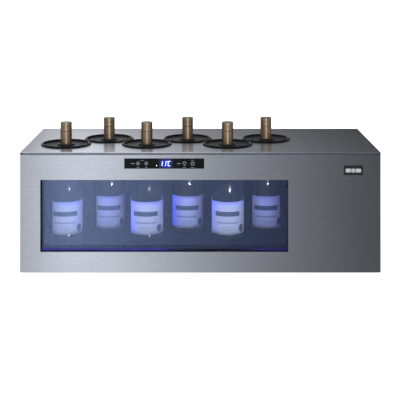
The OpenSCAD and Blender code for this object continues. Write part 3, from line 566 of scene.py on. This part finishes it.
LABEL_FOOT = (13.4, 16.8)      # label's lower edge above the bottle's foot, mm: rear row, front row
LABEL_HEIGHT = 83.5            # mm
LABEL_THICK = 0.12 * MM
LABEL_GAP = 0.25 * MM          # between the bottle and the paper
LABEL_STEPS = (64, 6)          # faces round the bottle, and up it
# Degrees round each bottle from its front: the label's left and right edge, and the middle of its print.
LABEL_SPAN = {1: (-48, 92), 2: (-48, 84), 3: (-72, 88), 4: (-72, 80), 5: (-76, 84), 6: (-62, 60)}
LABEL_TURN = {1: 4, 2: 3, 3: -2, 4: -2, 5: -2, 6: -3}
LABEL_TONE = {1: (0.80, 0.80, 0.78), 2: (0.78, 0.78, 0.76), 3: (0.80, 0.79, 0.77),
              4: (0.80, 0.80, 0.78), 5: (0.81, 0.80, 0.77), 6: (0.78, 0.78, 0.76)}


def add_label(k):
    """Paper wrapped round the front of a bottle, with its own millimetre grid for the print."""
    lo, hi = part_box(f"bottle_{k}")
    centre = (lo + hi) / 2
    radius = (hi.x - lo.x) / 2 + LABEL_GAP
    left, right = LABEL_SPAN[k]
    steps_u, steps_v = LABEL_STEPS
    bm = bmesh.new()
    grid = bm.loops.layers.uv.new("label")
    place = {}

    def vertex(i, j, r):
        turn = math.radians(left + (right - left) * i / steps_u)
        z = lo.z + (LABEL_FOOT[k % 2] + LABEL_HEIGHT * j / steps_v) * MM
        v = bm.verts.new((centre.x + r * math.sin(turn), centre.y - r * math.cos(turn), z))
        arc = (turn - math.radians(LABEL_TURN[k])) * radius / MM
        place[v] = (arc, LABEL_HEIGHT * j / steps_v)
        return v

    inner, outer = [[[vertex(i, j, r) for i in range(steps_u + 1)] for j in range(steps_v + 1)]
                    for r in (radius, radius + LABEL_THICK)]
    for sheet in (inner, outer):
        for j in range(steps_v):
            for i in range(steps_u):
                bm.faces.new((sheet[j][i], sheet[j][i + 1], sheet[j + 1][i + 1], sheet[j + 1][i]))
    rim = [(0, i) for i in range(steps_u)] + [(j, steps_u) for j in range(steps_v)]
    rim += [(steps_v, i) for i in range(steps_u, 0, -1)] + [(j, 0) for j in range(steps_v, 0, -1)]
    for (j0, i0), (j1, i1) in zip(rim, rim[1:] + rim[:1]):
        bm.faces.new((inner[j0][i0], outer[j0][i0], outer[j1][i1], inner[j1][i1]))
    for face in bm.faces:
        for loop in face.loops:
            loop[grid].uv = place[loop.vert]
    paper = label_paper(f"label_paper_{k}", LABEL_TONE[k])
    return add_piece(f"label_{k}", bm, paper, f"bottle_body_{k}", smooth=True)


# Middles of the touch symbols, mm from the strip's left edge.
SUN_X, SNOWFLAKE_X, BULB_X, STANDBY_X = 34.0, 54.8, 150.0, 170.3
PRINT_GAP = 0.02 * MM          # between the strip's face and what is printed on it


def strip_print(gap=PRINT_GAP, thick=0.06):
    """A print on the touch strip, counted in mm from its left edge and its mid height."""
    return FrontPrint(STRIP_X0, STRIP_FACE - gap, STRIP_MID, thick)


def add_to_front(name, flat_print, material):
    add_piece(name, flat_print.bm, material, "cabinet")


def draw_sun(p):
    """A small ring with rays."""
    p.arc(SUN_X, 0, 2.0, 1.0)
    for i in range(8):
        p.ray(SUN_X, 0, 45 * i, 3.4, 5.0, 0.8)


def draw_snowflake(p):
    """Six arms with two tips each."""
    for i in range(6):
        turn = 60 * i + 30
        p.ray(SNOWFLAKE_X, 0, turn, 0.6, 5.0, 0.9)
        fork_x = SNOWFLAKE_X + 3.0 * math.cos(math.radians(turn))
        fork_z = 3.0 * math.sin(math.radians(turn))
        for side in (-35, 35):
            p.ray(fork_x, fork_z, turn + side, 0.0, 1.6, 0.6)


def draw_bulb(p):
    """An open ring on a stepped base."""
    p.arc(BULB_X, 0.9, 3.6, 1.0, -50, 230)
    p.bar(BULB_X - 1.8, -3.2, BULB_X + 1.8, -3.2, 0.9)
    p.bar(BULB_X - 1.2, -4.8, BULB_X + 1.2, -4.8, 0.8)


def draw_standby(p):
    """A ring, open at its top, with an upright bar in the gap."""
    p.arc(STANDBY_X, 0, 4.2, 1.0, 120, 420)
    p.bar(STANDBY_X, 0.8, STANDBY_X, 5.2, 1.0)


def add_control_marks():
    """Touch symbols on the strip, with dashes beside them, ticks under them and bridges above them."""
    p = strip_print()
    for x0, x1 in ((17.6, 25.0), (132.0, 139.6)):
        p.bar(x0, 0, x1, 0, 1.3)
    draw_sun(p)
    draw_snowflake(p)
    draw_bulb(p)
    draw_standby(p)
    for x, half in ((SUN_X, 3.4), (SNOWFLAKE_X, 3.4), (BULB_X, 3.8), (STANDBY_X, 5.0)):
        for i in range(-2, 3):
            tick = x + half * i / 2.6
            p.bar(tick - 0.5, -9.6, tick + 0.5, -9.6, 0.7)
    p.bar(39.5, 8.0, 49.0, 8.0, 0.5)
    p.bar(166.6, 8.4, 174.0, 8.4, 0.5)
    add_to_front("control_marks", p, ink("mark_ink", (0.28, 0.30, 0.34), 0.10))
    dot = strip_print()
    dot.dot(80.5, -4.9, 1.1)
    add_to_front("status_dot", dot, ink("dot_light", (0.85, 0.92, 1.0), 1.6))


def add_display():
    """Two digits, a degree ring and a C in seven-segment bars over a blue halo."""
    halo = strip_print(thick=0.04)
    tile = 3.0
    for i in range(12):
        for j in range(-4, 4):
            x, z = 86.0 + tile * i, tile * j
            halo.outline([(x, z), (x + tile, z), (x + tile, z + tile), (x, z + tile)])
    add_to_front("display_halo", halo, display_glow())
    digits = strip_print(gap=0.07 * MM)
    for x in (94.6, 103.4):
        digits.bar(x + 0.3, 0.4, x + 0.9, 5.4, 1.25)
        digits.bar(x - 0.6, -5.4, x, -0.4, 1.25)
    digits.arc(107.4, 4.6, 1.1, 0.7)
    for x0, z0, x1, z1 in ((110.6, 5.6, 115.0, 5.6), (109.8, 0.6, 110.3, 5.0),
                           (109.0, -5.0, 109.5, -0.6), (109.6, -5.6, 114.0, -5.6)):
        digits.bar(x0, z0, x1, z1, 1.3)
    add_to_front("display_digits", digits, ink("digit_light", (0.55, 0.74, 1.0), 1.7))


def add_badge_mark():
    """Generic silver ornament: three bars on each side of a lozenge in a frame."""
    x, _, z = (badge_lo + badge_hi) / 2
    p = FrontPrint(x, badge_lo.y + 0.3 * MM, z, thick=0.35)
    middle = -0.6
    bar_end, bar_height = 18.5, 2.0
    for side in (-1, 1):
        for up, near in ((3.2, 6.0), (0.0, 8.0), (-3.2, 6.0)):
            p.bar(side * near, middle + up, side * bar_end, middle + up, bar_height)
    lozenge, frame_in, frame_out = 2.8, 4.6, 6.2
    corners = [(1, 0), (0, 1), (-1, 0), (0, -1)]
    for (ax, az), (bx, bz) in zip(corners, corners[1:] + corners[:1]):
        edge = [(ax, az, frame_in), (ax, az, frame_out), (bx, bz, frame_out), (bx, bz, frame_in)]
        wedge = [(0, 0, 0), (ax, az, lozenge), (bx, bz, lozenge)]
        for shape in (edge, wedge):
            p.outline([(cx * r, cz * r + middle) for cx, cz, r in shape])
    # Painted sheen: the silver print glows faintly though it is no lamp.
    add_to_front("badge_mark", p, ink("badge_silver", (0.55, 0.56, 0.58), 0.10))


# ------------------------------------------------------------------ materials onto the CAD nodes

def paint(material, *nodes):
    """Give CAD nodes one material."""
    for name in nodes:
        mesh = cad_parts[name].data
        mesh.materials.clear()
        mesh.materials.append(material)


def paint_cabinet():
    paint(brushed_steel("steel_front", BRUSHED_ALONG_X, (0, 0, 1)), "front_panel")
    # The top gets painted shade that darkens it towards its rear edge.
    paint(brushed_steel("steel_top", BRUSHED_ALONG_X, (0, 1, 0), rear_painted_shade=0.62), "top_panel")
    paint(brushed_steel("steel_side", BRUSHED_ALONG_Y, (0, 0, 1)), "left_side_panel", "right_side_panel")
    paint(galvanised(), "base_pan", "rear_panel", "bulkhead")
    paint(bare_metal("screw_metal", (0.66, 0.66, 0.68), 0.3), "fasteners")
    paint(foam(), "foam_insulation")
    paint(textured("liner_plastic", (0.026, 0.030, 0.046), 0.45,
                   spread=0.2, scale=25.0, grain=1200.0, depth=0.05),
          "inner_liner", "well_sleeves", "evaporator_cover")
    paint(textured("rack_plastic", (0.010, 0.012, 0.018), 0.6,
                   spread=0.2, scale=25.0, grain=1200.0, depth=0.05, Specular_IOR_Level=0.0),
          "bottle_rack")
    paint(textured("ring_plastic", (0.004, 0.004, 0.005), 0.18,
                   spread=0.3, scale=40.0, depth=0.005, Specular_IOR_Level=0.05),
          "collar_rings")
    paint(seal_rubber(), *[f"neck_seal_{k}" for k in BOTTLES])
    paint(textured("foot_rubber", (0.022, 0.022, 0.023), 0.7,
                   spread=0.3, scale=90.0, grain=1600.0, depth=0.05),
          "rubber_feet", "compressor_mounts")


def paint_window():
    paint(textured("gasket_rubber", (0.007, 0.007, 0.010), 0.5,
                   spread=0.3, grain=1600.0, depth=0.03, Specular_IOR_Level=0.2),
          "window_gasket")
    paint(window_glass("pane_outer", painted_glow=0.0), "outer_glass")
    # The inner pane carries the painted blue glow.
    paint(window_glass("pane_inner", painted_glow=0.012), "inner_glass")
    paint(spacer_glow(), "window_spacer")
    paint(led_board(), "led_strip")
    paint(led_diffuser(), "led_cover")


def paint_bottles():
    paint(bottle_glass(), *[f"bottle_{k}" for k in BOTTLES])
    paint(cap_foil(), *[f"cap_{k}" for k in BOTTLES])


def paint_controls():
    paint(textured("strip_gloss", (0.004, 0.004, 0.005), 0.14,
                   spread=0.3, scale=30.0, grain=900.0, depth=0.004, Specular_IOR_Level=0.12),
          "control_lens")
    paint(textured("badge_black", (0.012, 0.012, 0.013), 0.25, spread=0.3, scale=80.0, grain=1800.0),
          "badge")
    paint(circuit_board(), "control_board", "main_board")
    paint(textured("box_plastic", (0.02, 0.02, 0.022), 0.45), "control_housing", "display_module",
          "power_inlet", "evaporator_fan_frame", "condenser_fan_frame", "drip_tray")


def paint_machine():
    paint(fin_metal(), "evaporator", "condenser")
    paint(textured("fan_plastic", (0.05, 0.05, 0.055), 0.4),
          "evaporator_fan_rotor", "condenser_fan_rotor")
    paint(textured("black_enamel", (0.010, 0.010, 0.011), 0.18,
                   spread=0.2, scale=18.0, grain=300.0, depth=0.05, Coat_Weight=0.6, Coat_Roughness=0.1),
          "compressor")
    paint(copper_lines(), "refrigerant_lines", "filter_drier")
    paint(textured("white_plastic", (0.72, 0.72, 0.70), 0.4, spread=0.05), "drain_hose")
    paint(textured("grey_plastic", (0.10, 0.10, 0.11), 0.5, spread=0.1), "temperature_probe")
    paint(textured("cable_sleeve", (0.035, 0.035, 0.04), 0.5), "wiring_harness")


# ------------------------------------------------------------------ stage

def floor_material():
    """Pale floor with the faintest mottling."""
    s = Shader("pale_floor", Roughness=0.8)
    drift = s.noise(s.place(), 1.5, 3.0)
    s.fill(s.surface, {
        "Base Color": s.blend(drift, (0.90, 0.90, 0.90), (0.93, 0.93, 0.93)),
        "Specular IOR Level": 0.0,
        "Emission Color": (1.0, 1.0, 1.0),
        "Emission Strength": 0.80,
    })
    return s.material


FLOOR_HALF_SIZE = 80.0         # wide enough to reach the horizon in a low view


def add_floor():
    """Floor just under the feet. The steel doesn't mirror it."""
    bm = bmesh.new()
    bmesh.ops.create_grid(bm, x_segments=4, y_segments=4, size=FLOOR_HALF_SIZE)
    mesh = bpy.data.meshes.new("floor")
    bm.to_mesh(mesh)
    bm.free()
    floor = bpy.data.objects.new("floor", mesh)
    floor.location.z = cad_box[0][2] - 0.05 * MM
    floor.data.materials.append(floor_material())
    bpy.context.scene.collection.objects.link(floor)
    floor.visible_glossy = False


# What the steel and glass mirror, round the horizon: sine of the direction's angle to the right, brightness.
MIRRORED_ROOM = ((-1.0, 0.66), (-0.40, 0.56), (-0.26, 0.34), (-0.19, 0.36), (-0.17, 0.62), (-0.15, 1.20),
                 (-0.13, 1.30), (-0.10, 1.12), (-0.06, 0.73), (-0.02, 0.53), (0.02, 0.39), (0.06, 0.28),
                 (0.10, 0.20), (0.14, 0.13), (0.18, 0.06), (0.26, 0.04), (0.45, 0.42), (0.80, 0.55),
                 (1.0, 0.62))
BEHIND = 1.02          # brightness of the half of the mirrored room behind the object, over the near half's
CEILING = 0.5          # brightness of its ceiling, over its walls'
ROOM_STRENGTH = 1.05   # what the camera sees past the floor, and what lights the object softly


def add_world():
    """White room. Mirrored, it is bright to the left, dim to the right and dim overhead."""
    world = bpy.data.worlds.new("studio")
    bpy.context.scene.world = world
    world.use_nodes = True
    n = Nodes(world.node_tree)
    x, y, z = n.node("SeparateXYZ", {"Vector": n.node("TexCoord").outputs["Generated"]}).outputs
    sine = n.math("DIVIDE", x, n.math("MAXIMUM", n.radius(x, y), 0.001))
    walls = n.node("ValToRGB", {"Fac": n.ramp(sine, 0.0, 1.0, -1.0, 1.0)})
    keys = walls.color_ramp.elements

    def tint(key, bright):
        key.color = (bright * 0.97, bright * 0.985, bright, 1.0)

    tint(keys[0], MIRRORED_ROOM[0][1])
    tint(keys[1], MIRRORED_ROOM[-1][1])
    for side, bright in MIRRORED_ROOM[1:-1]:
        tint(keys.new((side + 1) / 2), bright)
    behind = n.ramp(y, 1.0, BEHIND, -0.2, 0.2)
    overhead = n.ramp(z, 1.0, CEILING, 0.25, 0.7)
    mirrored = n.node("Background", {"Color": walls.outputs[0],
                                     "Strength": n.math("MULTIPLY", behind, overhead)})
    room = n.tree.nodes["Background"]
    n.fill(room, {"Color": (0.97, 0.98, 1.0), "Strength": ROOM_STRENGTH})
    is_glossy = n.node("LightPath").outputs["Is Glossy Ray"]
    mix = n.node("MixShader", {0: is_glossy, 1: room.outputs[0], 2: mirrored.outputs[0]})
    n.fill(n.tree.nodes["World Output"], {"Surface": mix.outputs[0]})


def add_area_light(name, place, target, size, power, color=(1, 1, 1), receivers=(), blockers=(), shiny=True):
    """A soft lamp at place that faces target; size in metres, power in watts. receivers: the only objects
    it lights. blockers: the only ones that cast its shadow. shiny: whether it shows as a highlight."""
    data = bpy.data.lights.new(name, "AREA")
    data.shape = "RECTANGLE"
    data.size, data.size_y = size
    data.energy = power
    data.color = color
    lamp = bpy.data.objects.new(name, data)
    lamp.location = place
    lamp.rotation_euler = (Vector(target) - Vector(place)).to_track_quat("-Z", "Y").to_euler()
    lamp.visible_camera = False
    lamp.visible_glossy = shiny
    bpy.context.scene.collection.objects.link(lamp)
    for members, role in ((receivers, "receiver_collection"), (blockers, "blocker_collection")):
        if members:
            group = bpy.data.collections.new(f"{name}_{role}")
            for member in members:
                group.objects.link(member)
            setattr(lamp.light_linking, role, group)


def add_bottle_lights(labels):
    """Long white highlights on the glass and caps, and the blue light on the paper."""
    bottles = [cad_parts[f"bottle_{k}"] for k in BOTTLES]
    caps = [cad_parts[f"cap_{k}"] for k in BOTTLES]
    add_area_light("bottle_strip", (0.49, -1.67, 0.33), (-0.14, -0.1, 0.2), (0.36, 0.22), 36,
                   receivers=bottles)
    add_area_light("low_strip", (0.49, -1.67, -0.40), (-0.14, -0.1, 0.07), (0.34, 0.07), 2.4,
                   receivers=bottles, blockers=labels)
    add_area_light("cap_strip", (0.9, -8.0, 0.5), (-0.09, 0, 0.35), (0.9, 0.9), 150, receivers=caps)
    add_area_light("label_fill", (-0.3, -2.4, 0.7), (-0.09, 0, 0.12), (1.2, 0.8), 27, (0.31, 0.33, 1.0),
                   receivers=labels)
    add_area_light("label_side", (1.2, -1.6, 0.3), (0.07, 0, 0.12), (0.6, 0.4), 6, (0.60, 0.85, 1.0),
                   receivers=labels[3:])
    add_area_light("label_edge", (-3.0, 1.0, 0.4), (0, 0, 0.12), (0.6, 0.4), 150, (0.02, 0.03, 1.0),
                   receivers=labels[2:5], blockers=labels)


def add_lamp_row():
    """Blue light from the lamps over the window, shining down and back into the cold compartment."""
    lit = ["inner_liner", "well_sleeves", "evaporator_cover", "window_spacer", "window_gasket"]
    lit += [f"bottle_{k}" for k in BOTTLES]
    x = (glass_lo.x + glass_hi.x) / 2
    y = liner_lo.y + 14 * MM
    add_area_light("blue_row", (x, y, liner_hi.z - 16 * MM), (x, y + 0.04, 0), (0.60, 0.012), 2.2,
                   (0.16, 0.20, 1.0), receivers=[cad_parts[name] for name in lit], shiny=False)


def add_lights(labels):
    add_area_light("softbox_above", (-0.5, -0.3, 2.2), (0, 0, top_hi.z), (2.4, 1.6), 12)
    add_bottle_lights(labels)
    add_lamp_row()


CAMERA_DISTANCE = 2.492              # in front of the top panel's front edge, metres
CAMERA_HEIGHT = 0.760
LENS_SHIFT = (-0.001, -0.575)        # across and up, in picture widths


def add_camera():
    """Level camera on the cabinet's centre line, with its lens shifted down as in the photograph.
    The shift only holds in this view: views from elsewhere turn the camera in another rotation mode."""
    data = bpy.data.cameras.new("photo_camera")
    data.sensor_width = 36.0
    data.lens = 90.0
    camera = bpy.data.objects.new("photo_camera", data)
    camera.rotation_mode = "XYZ"
    camera.location = (0.0, front_y - CAMERA_DISTANCE, CAMERA_HEIGHT)
    camera.rotation_euler = (math.pi / 2, 0.0, 0.0)
    bpy.context.scene.collection.objects.link(camera)
    bpy.context.scene.camera = camera
    for channel, amount in zip(("shift_x", "shift_y"), LENS_SHIFT):
        driver = data.driver_add(channel).driver
        driver.type = "SCRIPTED"
        mode = driver.variables.new()
        mode.name = "mode"
        mode.type = "SINGLE_PROP"
        mode.targets[0].id = camera
        mode.targets[0].data_path = "rotation_mode"
        driver.expression = f"{amount} if mode == 1 else 0.0"


paint_cabinet()
paint_window()
paint_bottles()
paint_controls()
paint_machine()
labels = [add_label(k) for k in BOTTLES]
add_control_marks()
add_display()
add_badge_mark()
add_floor()
add_world()
add_lights(labels)
add_camera()
bpy.context.scene.view_settings.view_transform = "Standard"
